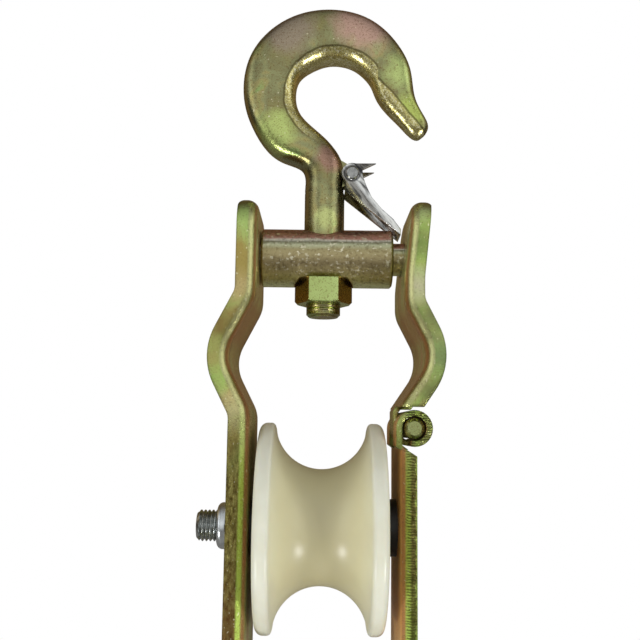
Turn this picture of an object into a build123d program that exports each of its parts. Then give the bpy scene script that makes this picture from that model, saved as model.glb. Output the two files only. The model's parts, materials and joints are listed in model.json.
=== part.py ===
"""Stringing block with a swivel hook, a hinged side gate and a nylon sheave.

Millimetres. +Z is up, +X runs along the sheave's axle towards the gate, +Y is the
direction in which the conductor runs. The origin is the load point: the top of the
hook's bowl, on the axis of its shank, where the block hangs.
"""
from build123d import *
import math
import os

# Hook
HOOK_SHANK_D = 16.2
HOOK_THREAD_D = 13.6
SHANK_TOP_Z = -56.5          # where the turned shank meets the forging
HOOK_WIDTH = 17.0            # thickness of the forging across its bowl
HOOK_NUT_AF = 20.0
HOOK_NUT_H = 10.0
THREAD_PAST_NUT = 5.2

# Latch
LATCH_PIVOT = (11.0, -49.2)
LUG_R = 3.3
LUG_THICK = 6.0
EAR_R = 4.3
LATCH_SHEET = 1.2
LATCH_INSIDE = 10.8          # between the two cheeks
RIVET_D = 3.0
RIVET_HEAD_D = 5.4
RIVET_HEAD_H = 1.0
SPRING_WIRE_D = 0.6
SPRING_COIL_D = 4.9
SPRING_TURNS = 2

# Swivel barrel
BARREL_Z = -83.3
BARREL_D = 23.5
BARREL_LEFT_GAP = 0.5         # between the barrel's end and the left web
BARREL_RIGHT_GAP = 1.8
SPOT_FACE_DEPTH = 2.9
SPIGOT_D = 13.2
BARREL_CHAMFER = 0.8
SPIGOT_WASHER_D = 22.0
SPIGOT_WASHER_T = 1.5

# Straps
SHEET = 2.8                  # pressed steel sheet
STRAP_WIDTH = 48.0
BEND_R = 4.6                 # outside radius between web and flange
LEFT_GAP = 2.8               # between the sheave and the left web
RIGHT_GAP = 5.2
LEFT_DEPTH = 7.9
GATE_DEPTH = 7.5
RIGHT_DEPTH = 5.8
TOP_Z = -62.9
STRAP_CORNER_R = 12.0
FLANGE_CORNER_R = 4.2
BULGE_Z = -124.9
BULGE_OUT = 8.4
BULGE_ANGLE = 27.0
BULGE_R = 16.0
BULGE_FOOT_R = 14.0
LEFT_SET_IN = 1.3            # upper left web inside the lower one
GATE_SET_OUT = 1.4           # gate web outside the lower web
GATE_BEND_Z = -94.0          # above it the gate leans outward
GATE_BEND_R = 40.0
GATE_LEAN = 6.0              # degrees
GATE_FOOT_ANGLE = 34.0

# Hinge
HINGE_SET_OUT = 5.1          # hinge axis outside the lower web
HINGE_Z = -151.1
HINGE_PIN_D = 7.6
KNUCKLE_D = 13.6
KNUCKLE_WALL = 2.2
KNUCKLE_FRONT_Y = 21.5
KNUCKLE_SPLIT_Y = 8.0
KNUCKLE_GAP = 0.3
GATE_END_Z = -143.2          # lower end of the gate's flanges
LOWER_END_Z = -157.0         # upper end of the lower strap's flanges
LOWER_BEVEL = 36.0           # degrees

# Sheave and axle
AXLE_Z = -189.5
AXLE_D = 12.0
SHEAVE_D = 80.0
SHEAVE_WIDTH = 48.0
GROOVE_ROOT_D = 44.2
RIM_LAND = 5.8               # width of a rim at its top
RIM_OUTER_R = 2.8
RIM_GROOVE_R = 1.6
BEARING_OD = 28.0
BEARING_WIDTH = 8.0
BEARING_INSET = 0.5
RACE_WALL = 2.3
BALL_D = 4.6
BALL_COUNT = 9
SEAL_T = 0.6
SHOULDER_D = 23.0
RACE_SPACER_D = 16.6
AXLE_SPACER_D = 21.8
AXLE_HEAD_D = 22.0
AXLE_HEAD_T = 2.5
AXLE_PAST_NUT = 7.9
AXLE_END_D = 11.6            # past the nut
AXLE_NUT_AF = 19.0
AXLE_NUT_HEX_H = 7.0
AXLE_NUT_DOME_H = 3.4

# Lower cross bolt
CROSS_DROP = 58.0            # below the axle
CROSS_D = 10.0
CROSS_SPACER_D = 17.0
CROSS_NUT_AF = 17.0
CROSS_NUT_H = 8.4
CROSS_HEAD_H = 6.4
CROSS_PAST_NUT = 4.0
STRAP_PAST_CROSS = 14.0

# Clearances
RUN = 0.04                   # radial, running fits
LOOSE = 0.3                  # radial, bolts in punched holes
GATE_HOLE_PLAY = 0.75        # radial, lets the gate swing off the spigot
SIDE = 0.2                   # between faces that pass each other
THREAD_PLAY = 0.02

GROOVE_R = SHEAVE_WIDTH / 2 - RIM_LAND
LEFT_WEB_X = -SHEAVE_WIDTH / 2 - LEFT_GAP       # inner face of the left web
RIGHT_WEB_X = SHEAVE_WIDTH / 2 + RIGHT_GAP      # inner face of the lower right web
GATE_WEB_X = RIGHT_WEB_X + GATE_SET_OUT
HINGE_X = RIGHT_WEB_X + HINGE_SET_OUT
LEFT_UPPER_X = LEFT_WEB_X + LEFT_SET_IN
BARREL_LEFT_X = LEFT_UPPER_X + BARREL_LEFT_GAP
BARREL_RIGHT_X = RIGHT_WEB_X - BARREL_RIGHT_GAP
AXLE_NUT_END_X = LEFT_WEB_X - SHEET - AXLE_NUT_HEX_H - AXLE_NUT_DOME_H
CROSS_Z = AXLE_Z - CROSS_DROP
BOTTOM_Z = CROSS_Z - STRAP_PAST_CROSS
SPOT_FACE_Z = BARREL_Z - BARREL_D / 2 + SPOT_FACE_DEPTH
NUT_BOTTOM_Z = SPOT_FACE_Z - HOOK_NUT_H
HOOK_END_Z = NUT_BOTTOM_Z - THREAD_PAST_NUT


def at(x, y, z):
    return Location((x, y, z))


def rod_x(radius, x0, x1, z=0.0):
    """Solid cylinder along X from x0 to x1 at height z."""
    length = abs(x1 - x0)
    return at((x0 + x1) / 2, 0, z) * Rotation(0, 90, 0) * Cylinder(radius, length)


def rod_y(radius, y0, y1, x, z):
    """Solid cylinder along Y from y0 to y1."""
    length = abs(y1 - y0)
    return at(x, (y0 + y1) / 2, z) * Rotation(90, 0, 0) * Cylinder(radius, length)


def rod_z(radius, z0, z1, x=0.0, y=0.0):
    """Solid cylinder along Z from z0 to z1."""
    return at(x, y, (z0 + z1) / 2) * Cylinder(radius, abs(z1 - z0))


def ring_x(outer_r, inner_r, x0, x1, z):
    """Tube along X."""
    return rod_x(outer_r, x0, x1, z) - rod_x(inner_r, x0 - 1, x1 + 1, z)


def plate_xz(points, y0, y1):
    """Polygon given as (x, z) points, as a plate between two Y planes."""
    outline = make_face(Polyline([(x, 0, z) for x, z in points], close=True))
    return at(0, y0, 0) * extrude(outline, amount=y1 - y0, dir=(0, 1, 0))


def hex_x(across_flats, x0, x1, z):
    """Hexagonal bar along X, with its corners trimmed round at both ends."""
    profile = Plane.YZ * RegularPolygon(across_flats / 2, 6, major_radius=False)
    bar = at(x0, 0, z) * extrude(profile, amount=x1 - x0, dir=(1, 0, 0))
    corner_r = across_flats / math.sqrt(3)
    trim = chamfer(rod_x(corner_r, x0, x1, z).edges().filter_by(GeomType.CIRCLE), corner_r * 0.09)
    return bar & trim


def hex_z(across_flats, z0, z1):
    """Hexagonal bar along Z with flats facing Y, corners trimmed round at the lower end."""
    profile = RegularPolygon(across_flats / 2, 6, major_radius=False, rotation=0)
    bar = at(0, 0, z0) * extrude(profile, amount=z1 - z0)
    corner_r = across_flats / math.sqrt(3)
    trim = chamfer(rod_z(corner_r, z0, z1).edges().group_by(Axis.Z)[0], corner_r * 0.09)
    return bar & trim


# ---------------------------------------------------------------- hook and its nut

# Each station joins the inner contour to the outer one: (x, z), (x, z), then the share of
# HOOK_WIDTH there and the squareness of the section, where 2 is an ellipse.
HOOK_STATIONS = [
    ((7.9, SHANK_TOP_Z), (-7.9, SHANK_TOP_Z), 0.93, 2.0),
    ((7.9, -52.0), (-7.9, -52.0), 0.93, 2.0),
    ((7.6, -45.0), (-9.4, -46.4), 0.96, 2.2),
    ((1.4, -34.6), (-17.6, -42.4), 0.98, 2.6),
    ((-6.4, -27.6), (-24.9, -36.8), 1.0, 2.8),
    ((-11.2, -21.4), (-31.0, -26.6), 1.0, 3.0),
    ((-12.4, -13.0), (-34.1, -13.0), 1.0, 3.0),
    ((-10.6, -6.6), (-31.4, 2.4), 1.0, 3.0),
    ((-6.2, -2.9), (-21.9, 14.5), 1.0, 3.0),
    ((-1.0, -0.5), (-9.6, 20.9), 1.0, 3.0),
    ((4.6, 0.2), (5.3, 22.2), 1.0, 3.0),
    ((10.4, -1.2), (19.2, 17.8), 0.97, 3.0),
    ((15.4, -4.8), (29.7, 7.8), 0.92, 3.0),
    ((18.9, -9.6), (35.0, -3.0), 0.85, 3.0),
    ((21.3, -15.4), (36.6, -13.4), 0.76, 2.9),
    ((25.4, -21.0), (39.0, -19.8), 0.67, 2.8),
    ((30.6, -26.6), (41.9, -24.9), 0.56, 2.6),
    ((34.6, -31.0), (42.3, -28.4), 0.44, 2.4),
    ((36.6, -32.5), (41.2, -30.4), 0.28, 2.2),
    ((38.4, -32.8), (39.6, -31.8), 0.09, 2.0),
]
SECTION_POINTS = 16


def hook_section(inner, outer, width, squareness):
    """Closed superellipse between the two contours, standing across the hook's run."""
    across = (outer[0] - inner[0], outer[1] - inner[1])
    height = math.hypot(*across)
    middle = ((inner[0] + outer[0]) / 2, 0, (inner[1] + outer[1]) / 2)
    plane = Plane(origin=middle, x_dir=(across[0], 0, across[1]), z_dir=(across[1], 0, -across[0]))
    power = 2 / squareness
    points = []
    for i in range(SECTION_POINTS):
        c = math.cos(2 * math.pi * i / SECTION_POINTS)
        s = math.sin(2 * math.pi * i / SECTION_POINTS)
        points.append((math.copysign(abs(c) ** power, c) * height / 2,
                       math.copysign(abs(s) ** power, s) * width / 2))
    return plane * make_face(Spline(points, periodic=True))


def make_hook():
    """Forged hook: round shank, threaded end below the barrel, lug for the latch."""
    sections = [hook_section(a, b, w * HOOK_WIDTH, r) for a, b, w, r in HOOK_STATIONS]
    body = loft(sections)
    shank_r = HOOK_SHANK_D / 2
    body += rod_z(shank_r, SPOT_FACE_Z, SHANK_TOP_Z)
    thread = rod_z(HOOK_THREAD_D / 2, HOOK_END_Z, SPOT_FACE_Z)
    body += chamfer(thread.edges().group_by(Axis.Z)[0], 1.0)
    px, pz = LATCH_PIVOT
    half = LUG_THICK / 2
    lug = plate_xz([(2, -40), (px + LUG_R * 0.5, pz + LUG_R * 0.87),
                    (px + LUG_R * 0.94, pz - LUG_R * 0.34), (4, -55.5), (2, -55.5)], -half, half)
    lug += rod_y(LUG_R, -half, half, px, pz)
    body += lug
    return body - rod_y(RIVET_D / 2 + RUN, -half - 1, half + 1, px, pz)


def make_hook_nut():
    nut = hex_z(HOOK_NUT_AF, NUT_BOTTOM_Z, SPOT_FACE_Z)
    return nut - rod_z(HOOK_THREAD_D / 2 + THREAD_PLAY, NUT_BOTTOM_Z - 1, SPOT_FACE_Z + 1)


# ---------------------------------------------------------------- latch, rivet and spring

# Edge points as (share of the way from the pivot to the gate, rise above the pivot)
LATCH_TIP = (1.0, -25.2)
LATCH_HEEL = (-0.15, -7.3)
LATCH_BACK = [(0.21, -0.4), (0.29, -5.0), (0.40, -9.7), (0.61, -14.6), (0.85, -18.8), (1.0, -22.8)]


def latch_point(edge_point):
    px, pz = LATCH_PIVOT
    return px + edge_point[0] * (GATE_WEB_X - px), pz + edge_point[1]


def make_latch():
    """Pressed latch: two cheeks joined by a back, with a thumb tab at the ear."""
    px, pz = LATCH_PIVOT
    half_in = LATCH_INSIDE / 2
    half_out = half_in + LATCH_SHEET
    back = [latch_point(p) for p in LATCH_BACK]
    outline = [(px - 2.6, pz - 3.4), latch_point(LATCH_HEEL), latch_point(LATCH_TIP)]
    body = plate_xz(outline + back[::-1] + [(px + 3.0, pz + 3.1)], -half_out, half_out)
    body += rod_y(EAR_R, -half_out, half_out, px, pz)
    spur = [(px + 1.0, pz + 4.1), (px + 9.6, pz + 4.2), (px + 4.0, pz + 1.4)]
    body += plate_xz(spur, -half_out, half_out)
    inside = [(x - LATCH_SHEET * 0.8, z - LATCH_SHEET * 0.62) for x, z in back]
    hollow = [(px + 11.0, pz + 6.0), (px - 8.0, pz + 6.0), (px - 8.0, pz - 30.0), (34.0, -90.0)]
    hollow += inside[::-1] + [(px + 11.0, back[0][1] + 1.2)]
    body -= plate_xz(hollow, -half_in, half_in)
    return body - rod_y(RIVET_D / 2 + RUN, -half_out - 1, half_out + 1, px, pz)


def make_latch_rivet():
    px, pz = LATCH_PIVOT
    half = LATCH_INSIDE / 2 + LATCH_SHEET + SIDE / 2
    rivet = rod_y(RIVET_D / 2, -half, half, px, pz)
    for side in (-1, 1):
        head = rod_y(RIVET_HEAD_D / 2, side * half, side * (half + RIVET_HEAD_H), px, pz)
        outer = head.edges().filter_by(GeomType.CIRCLE).sort_by(Axis.Y)[0 if side < 0 else -1]
        rivet += chamfer(outer, RIVET_HEAD_H * 0.45)
    return rivet


def make_latch_spring():
    """Double torsion spring on the rivet, one coil each side of the lug."""
    px, pz = LATCH_PIVOT
    pitch = SPRING_WIRE_D + 0.05
    start = LUG_THICK / 2 + SPRING_WIRE_D / 2 + 0.1
    coil_r = (SPRING_COIL_D - SPRING_WIRE_D) / 2
    coils = []
    for side in (-1, 1):
        path = Helix(pitch, pitch * SPRING_TURNS, coil_r)
        wire = sweep(Plane(path @ 0, z_dir=path % 0) * RegularPolygon(SPRING_WIRE_D / 2, 6), path=path)
        coils.append(at(px, side * start, pz) * Rotation(-90 * side, 0, 0) * wire)
    return Compound(children=coils)


# ---------------------------------------------------------------- swivel barrel

def make_barrel():
    """Turned barrel with a spigot at each end and a cross hole for the hook's shank."""
    ends = (LEFT_UPPER_X - SHEET - SPIGOT_WASHER_T - SIDE, GATE_WEB_X + SHEET + 2.4)
    core = rod_x(BARREL_D / 2, BARREL_LEFT_X, BARREL_RIGHT_X, BARREL_Z)
    body = chamfer(core.edges().filter_by(GeomType.CIRCLE), BARREL_CHAMFER)
    spigot = rod_x(SPIGOT_D / 2, ends[0], ends[1], BARREL_Z)
    body += chamfer(spigot.edges().filter_by(GeomType.CIRCLE), 0.8)
    head = rod_x(SPIGOT_D / 2 + 1.2, ends[0] - 1.2, ends[0], BARREL_Z)
    body += chamfer(head.edges().filter_by(GeomType.CIRCLE).sort_by(Axis.X)[0], 0.8)
    top_z = BARREL_Z + BARREL_D / 2 + 1
    body -= rod_z(HOOK_SHANK_D / 2 + RUN, BARREL_Z - BARREL_D, top_z)
    nut_r = HOOK_NUT_AF / math.sqrt(3) + 0.4
    return body - rod_z(nut_r, BARREL_Z - BARREL_D, SPOT_FACE_Z)


def make_spigot_washer():
    x0 = LEFT_UPPER_X - SHEET - SPIGOT_WASHER_T - SIDE / 2
    return ring_x(SPIGOT_WASHER_D / 2, SPIGOT_D / 2 + RUN, x0, x0 + SPIGOT_WASHER_T, BARREL_Z)


# ---------------------------------------------------------------- pressed straps

def bulge_points(web_x, outward):
    """Corner points of the bulge's bent line, as (x, z), from the bottom up."""
    angle = math.radians(BULGE_ANGLE)
    reach = BULGE_OUT + BULGE_R * (1 / math.cos(angle) - 1)
    rise = reach / math.tan(angle)
    return (web_x, BULGE_Z - rise), (web_x + outward * reach, BULGE_Z), (web_x, BULGE_Z + rise)


def bent_line(points, radii):
    """Inner face of a web seen along Y: runs joined by bends, from the bottom up."""
    return FilletPolyline([(x, 0, z) for x, z in points], radius=radii).edges()


def offset_line(line, shift):
    """A bent line moved sideways, with each bend's radius changed to suit."""
    def moved(edge, where):
        along = edge % where
        return edge @ where + Vector(along.Z, 0, -along.X) * shift

    return [Line(moved(edge, 0), moved(edge, 1)) if edge.geom_type == GeomType.LINE
            else ThreePointArc(moved(edge, 0), moved(edge, 0.5), moved(edge, 1)) for edge in line]


def rim_edges(block, line, bottom_z, top_z):
    """Edges round the face that stands on line, without bend seams and square-cut ends."""
    wire = Wire(line)
    rim = block.edges().filter_by(lambda edge: all(
        wire.distance_to(Vector(point.X, 0, point.Z)) < 0.01
        for point in (edge @ 0, edge @ 0.5, edge @ 1)))
    across = rim.filter_by(Axis.Y)
    return rim - across.filter_by(lambda edge: bottom_z + 0.1 < edge.center().Z < top_z - 0.1)


def press_strap(line, outward, depth, bottom_z, top_z):
    """Pressed strap: a web along line, with one flange turned out all round its edge.

    An end is rounded across the width where the line runs past bottom_z or top_z, and
    square where it stops short.
    """
    def layer(inset, near, far, bend_r):
        """Solid block between two offsets of the line, within the strap's outline."""
        inner = offset_line(line, outward * near)
        outer = offset_line(line, outward * far)
        ends = [Line(inner[0] @ 0, outer[0] @ 0), Line(inner[-1] @ 1, outer[-1] @ 1)]
        block = extrude(make_face(Wire(inner + outer + ends)), amount=STRAP_WIDTH, dir=(0, 1, 0), both=True)
        low, high = bottom_z + inset, top_z - inset
        outline = RectangleRounded(STRAP_WIDTH - 2 * inset, high - low, STRAP_CORNER_R - inset)
        window = at(0, 0, (low + high) / 2) * (Plane.YZ * outline)
        block &= extrude(window, amount=200, dir=(1, 0, 0), both=True)
        return fillet(rim_edges(block, inner, low, high), bend_r)

    return layer(0, 0, depth, BEND_R) - layer(SHEET, SHEET, depth + 5, BEND_R - SHEET)


def ease_corner(strap, x, z, outward):
    """Round the flange's outer corner at a strap's upper end."""
    r = FLANGE_CORNER_R
    corner = at(x, 0, z) * Box(2 * r, 2 * STRAP_WIDTH, 2 * r)
    return strap - (corner - rod_y(r, -STRAP_WIDTH, STRAP_WIDTH, x - outward * r, z - r))


def punch(strap, web_x, *holes):
    """Round holes through a web, as pairs of radius and z."""
    for radius, z in holes:
        strap -= rod_x(radius, web_x - 20, web_x + 20, z)
    return strap


def make_left_strap():
    low, peak, _ = bulge_points(LEFT_WEB_X, -1)
    high = (LEFT_UPPER_X, peak[1] + abs(peak[0] - LEFT_UPPER_X) / math.tan(math.radians(BULGE_ANGLE)))
    ends = (LEFT_WEB_X, BOTTOM_Z - BEND_R), (LEFT_UPPER_X, TOP_Z + BEND_R)
    line = bent_line([ends[0], low, peak, high, ends[1]], [BULGE_FOOT_R, BULGE_R, BULGE_FOOT_R])
    strap = press_strap(line, -1, LEFT_DEPTH, BOTTOM_Z, TOP_Z)
    strap = ease_corner(strap, LEFT_UPPER_X - LEFT_DEPTH, TOP_Z, -1)
    return punch(strap, LEFT_WEB_X, (SPIGOT_D / 2 + RUN, BARREL_Z), (AXLE_D / 2 + LOOSE, AXLE_Z),
                 (CROSS_D / 2 + LOOSE, CROSS_Z))


def knuckle(y0, y1, upward, root_x, root_z):
    """One curled knuckle: tongue from the web at root, round the pin and back to its foot."""
    outer_r = KNUCKLE_D / 2
    inner_r = outer_r - KNUCKLE_WALL
    side = 1 if upward else -1
    ring = rod_y(outer_r, y0, y1, HINGE_X, HINGE_Z) - rod_y(inner_r, y0 - 1, y1 + 1, HINGE_X, HINGE_Z)
    mouth = [(HINGE_X - inner_r - 0.02, HINGE_Z - side * 0.2), (HINGE_X - 0.8, HINGE_Z - side * 2.6),
             (HINGE_X - 1.6, HINGE_Z - side * 9.0), (HINGE_X - inner_r - 0.02, HINGE_Z - side * 9.0)]
    ring -= plate_xz(mouth, y0 - 1, y1 + 1)
    tail_in = HINGE_X - outer_r
    tail_out = tail_in + KNUCKLE_WALL
    tongue = plate_xz([(tail_in, HINGE_Z), (tail_out, HINGE_Z),
                       (tail_out, HINGE_Z - side * 6.2), (root_x + SHEET, root_z),
                       (root_x, root_z), (tail_in, HINGE_Z - side * 6.6)], y0, y1)
    return ring + tongue


def make_right_strap():
    """Lower half of the right side, with the front and rear hinge knuckles."""
    line = [Line((RIGHT_WEB_X, 0, BOTTOM_Z - BEND_R), (RIGHT_WEB_X, 0, LOWER_END_Z + BEND_R))]
    strap = press_strap(line, 1, RIGHT_DEPTH, BOTTOM_Z, TOP_Z)
    drop = (RIGHT_DEPTH + 1) * math.tan(math.radians(LOWER_BEVEL))
    x0, x1 = RIGHT_WEB_X - 1, RIGHT_WEB_X + RIGHT_DEPTH + 1
    strap -= plate_xz([(x0, LOWER_END_Z), (x0, LOWER_END_Z + 20), (x1, LOWER_END_Z + 20),
                       (x1, LOWER_END_Z - drop)], -STRAP_WIDTH, STRAP_WIDTH)
    for side in (-1, 1):
        y0, y1 = sorted((side * KNUCKLE_SPLIT_Y, side * KNUCKLE_FRONT_Y))
        strap += knuckle(y0, y1, True, RIGHT_WEB_X, LOWER_END_Z - 2.0)
    return punch(strap, RIGHT_WEB_X, (AXLE_D / 2 + LOOSE, AXLE_Z), (CROSS_D / 2 + LOOSE, CROSS_Z))


def make_gate_strap():
    """Upper half of the right side: swings out on the hinge, off the barrel's spigot."""
    low, peak, high = bulge_points(GATE_WEB_X, 1)
    slope = math.tan(math.radians(GATE_FOOT_ANGLE))
    foot_x = peak[0] - (peak[1] - GATE_END_Z) * slope
    spare = 2 * GATE_DEPTH
    start = (foot_x - spare * slope, GATE_END_Z - spare)
    lean = math.tan(math.radians(GATE_LEAN))
    top = (GATE_WEB_X + (TOP_Z - GATE_BEND_Z) * lean, TOP_Z)
    line = bent_line([start, peak, high, (GATE_WEB_X, GATE_BEND_Z), (top[0] + BEND_R * lean, TOP_Z + BEND_R)],
                     [BULGE_R, BULGE_FOOT_R, GATE_BEND_R])
    strap = press_strap(line, 1, GATE_DEPTH, BOTTOM_Z, TOP_Z)
    strap = ease_corner(strap, top[0] + GATE_DEPTH, TOP_Z, 1)
    strap -= at(foot_x, 0, GATE_END_Z - 20) * Box(80, 80, 40)
    y1 = KNUCKLE_SPLIT_Y - KNUCKLE_GAP
    strap += knuckle(-y1, y1, False, foot_x, GATE_END_Z + 0.6)
    return punch(strap, GATE_WEB_X, (SPIGOT_D / 2 + GATE_HOLE_PLAY, BARREL_Z))


def make_hinge_pin():
    half = KNUCKLE_FRONT_Y + 0.3
    pin = rod_y(HINGE_PIN_D / 2, -half, half, HINGE_X, HINGE_Z)
    return chamfer(pin.edges().filter_by(GeomType.CIRCLE), 1.2)


# ---------------------------------------------------------------- sheave and bearings

def make_sheave():
    """Cast nylon sheave: deep round groove, bearing seat in each face."""
    half = SHEAVE_WIDTH / 2
    rim = SHEAVE_D / 2
    root = GROOVE_ROOT_D / 2
    seat = half - BEARING_INSET - BEARING_WIDTH
    centre = root + GROOVE_R
    shoulder_half = math.sqrt(GROOVE_R ** 2 - (centre - rim) ** 2)
    seat_r = BEARING_OD / 2
    shoulder_r = SHOULDER_D / 2
    corners = [(-half, seat_r), (-half, rim), (-shoulder_half, rim)]
    outline = Polyline(corners)
    outline += ThreePointArc(corners[-1], (0, root), (shoulder_half, rim))
    outline += Polyline((shoulder_half, rim), (half, rim), (half, seat_r), (seat, seat_r),
                        (seat, shoulder_r), (-seat, shoulder_r), (-seat, seat_r), (-half, seat_r))
    profile = make_face(outline)
    tops = profile.vertices().group_by(Axis.Y)[-1].sort_by(Axis.X)
    profile = fillet([tops[0], tops[-1]], RIM_OUTER_R)
    lips = [v for v in profile.vertices() if abs(abs(v.X) - shoulder_half) < 0.01]
    profile = fillet(lips, RIM_GROOVE_R)
    profile = Plane.XZ * profile
    return at(0, 0, AXLE_Z) * revolve(profile, Axis.X)


def race_x(side):
    """Inboard and outboard planes of one bearing."""
    outboard = SHEAVE_WIDTH / 2 - BEARING_INSET
    return sorted((side * (outboard - BEARING_WIDTH), side * outboard))


def raceway(side):
    """Ring that cuts both raceways of one bearing."""
    x0, x1 = race_x(side)
    track = at((x0 + x1) / 2, 0, AXLE_Z) * Rotation(0, 90, 0)
    return track * Torus(pitch_r(), BALL_D / 2 + RUN)


def pitch_r():
    return (BEARING_OD / 2 + AXLE_D / 2) / 2


def make_outer_race(side):
    x0, x1 = race_x(side)
    ring = ring_x(BEARING_OD / 2, BEARING_OD / 2 - RACE_WALL, x0, x1, AXLE_Z)
    return ring - raceway(side)


def make_inner_race(side):
    x0, x1 = race_x(side)
    ring = ring_x(AXLE_D / 2 + RACE_WALL, AXLE_D / 2 + THREAD_PLAY, x0, x1, AXLE_Z)
    return ring - raceway(side)


def make_balls(side):
    x0, x1 = race_x(side)
    balls = []
    for i in range(BALL_COUNT):
        angle = 2 * math.pi * i / BALL_COUNT
        y = pitch_r() * math.sin(angle)
        z = AXLE_Z + pitch_r() * math.cos(angle)
        balls.append(at((x0 + x1) / 2, y, z) * Sphere(BALL_D / 2))
    return Compound(children=balls)


def make_seal(side):
    """Rubber seal held in the outer race, just clear of the inner one."""
    outboard = side * (SHEAVE_WIDTH / 2 - BEARING_INSET)
    x0, x1 = sorted((outboard, outboard - side * SEAL_T))
    x0, x1 = x0 - side * SIDE, x1 - side * SIDE
    outer_r = BEARING_OD / 2 - RACE_WALL
    return ring_x(outer_r, AXLE_D / 2 + RACE_WALL + 0.15, x0, x1, AXLE_Z)


def make_race_spacer():
    half = race_x(1)[0]
    return ring_x(RACE_SPACER_D / 2, AXLE_D / 2 + RUN, -half, half, AXLE_Z)


def make_axle_spacer(side):
    """Flanged spacer: its foot bears on the inner race, its flange on the strap."""
    race_x1 = side * max(abs(x) for x in race_x(side))
    foot_x = race_x1 + side * (BEARING_INSET + SIDE)
    web = RIGHT_WEB_X if side > 0 else LEFT_WEB_X
    spacer = rod_x(AXLE_D / 2 + RACE_WALL - 0.1, *sorted((race_x1, foot_x)), AXLE_Z)
    spacer += rod_x(AXLE_SPACER_D / 2, *sorted((foot_x, web)), AXLE_Z)
    return spacer - rod_x(AXLE_D / 2 + RUN, LEFT_WEB_X, RIGHT_WEB_X, AXLE_Z)


def make_axle_bolt():
    """Axle with a flat disc head lying inside the right channel and a threaded left end."""
    head_x = RIGHT_WEB_X + SHEET
    axle = rod_x(AXLE_D / 2, AXLE_NUT_END_X, head_x, AXLE_Z)
    free_end = rod_x(AXLE_END_D / 2, AXLE_NUT_END_X - AXLE_PAST_NUT, AXLE_NUT_END_X, AXLE_Z)
    axle += chamfer(free_end.edges().filter_by(GeomType.CIRCLE).sort_by(Axis.X)[0], 1.2)
    head = rod_x(AXLE_HEAD_D / 2, head_x, head_x + AXLE_HEAD_T, AXLE_Z)
    return axle + chamfer(head.edges().filter_by(GeomType.CIRCLE).sort_by(Axis.X)[-1], 0.8)


def make_axle_nut():
    """Hexagon lock nut: chamfered hexagon with a domed collar for the nylon ring."""
    seat = LEFT_WEB_X - SHEET
    hex_end = seat - AXLE_NUT_HEX_H
    nut = hex_x(AXLE_NUT_AF, hex_end, seat, AXLE_Z)
    collar = rod_x(AXLE_NUT_AF / 2 - 0.6, hex_end - AXLE_NUT_DOME_H, hex_end, AXLE_Z)
    nut += fillet(collar.edges().filter_by(GeomType.CIRCLE).sort_by(Axis.X)[0], 2.2)
    nut -= rod_x(AXLE_D / 2 + THREAD_PLAY, hex_end - 20, seat + 1, AXLE_Z)
    return nut - insert_seat(hex_end)


def insert_seat(hex_end):
    return ring_x(AXLE_D / 2 + 1.3, AXLE_D / 2 + THREAD_PLAY, hex_end - AXLE_NUT_DOME_H + 0.6, hex_end, AXLE_Z)


def make_axle_nut_insert():
    return insert_seat(LEFT_WEB_X - SHEET - AXLE_NUT_HEX_H)


# ---------------------------------------------------------------- lower cross bolt

def make_cross_spacer():
    return ring_x(CROSS_SPACER_D / 2, CROSS_D / 2 + LOOSE, LEFT_WEB_X, RIGHT_WEB_X, CROSS_Z)


def make_cross_bolt():
    head_x = RIGHT_WEB_X + SHEET
    end_x = LEFT_WEB_X - SHEET - CROSS_NUT_H - CROSS_PAST_NUT
    bolt = rod_x(CROSS_D / 2, end_x, head_x, CROSS_Z)
    bolt = chamfer(bolt.edges().filter_by(GeomType.CIRCLE).sort_by(Axis.X)[0], 1.0)
    return bolt + hex_x(CROSS_NUT_AF, head_x, head_x + CROSS_HEAD_H, CROSS_Z)


def make_cross_nut():
    seat = LEFT_WEB_X - SHEET
    nut = hex_x(CROSS_NUT_AF, seat - CROSS_NUT_H, seat, CROSS_Z)
    return nut - rod_x(CROSS_D / 2 + THREAD_PLAY, seat - 20, seat + 1, CROSS_Z)


PIECES = {
    "hook": make_hook,
    "hook_nut": make_hook_nut,
    "latch": make_latch,
    "latch_rivet": make_latch_rivet,
    "latch_spring": make_latch_spring,
    "swivel_barrel": make_barrel,
    "spigot_washer": make_spigot_washer,
    "left_strap": make_left_strap,
    "right_strap": make_right_strap,
    "gate_strap": make_gate_strap,
    "hinge_pin": make_hinge_pin,
    "sheave": make_sheave,
    "race_spacer": make_race_spacer,
    "axle_bolt": make_axle_bolt,
    "axle_nut": make_axle_nut,
    "axle_nut_insert": make_axle_nut_insert,
    "cross_bolt": make_cross_bolt,
    "cross_spacer": make_cross_spacer,
    "cross_nut": make_cross_nut,
}
SIDED = {
    "outer_race": make_outer_race,
    "inner_race": make_inner_race,
    "bearing_balls": make_balls,
    "bearing_seal": make_seal,
    "axle_spacer": make_axle_spacer,
}

os.makedirs("parts", exist_ok=True)
for name, make in PIECES.items():
    export_step(make(), f"parts/{name}.step")
for name, make in SIDED.items():
    export_step(make(-1), f"parts/{name}_left.step")
    export_step(make(1), f"parts/{name}_right.step")
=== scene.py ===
"""Looks of the stringing block: materials, threads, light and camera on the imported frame."""
import json
import math

import bpy
from mathutils import Matrix, Vector


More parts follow.
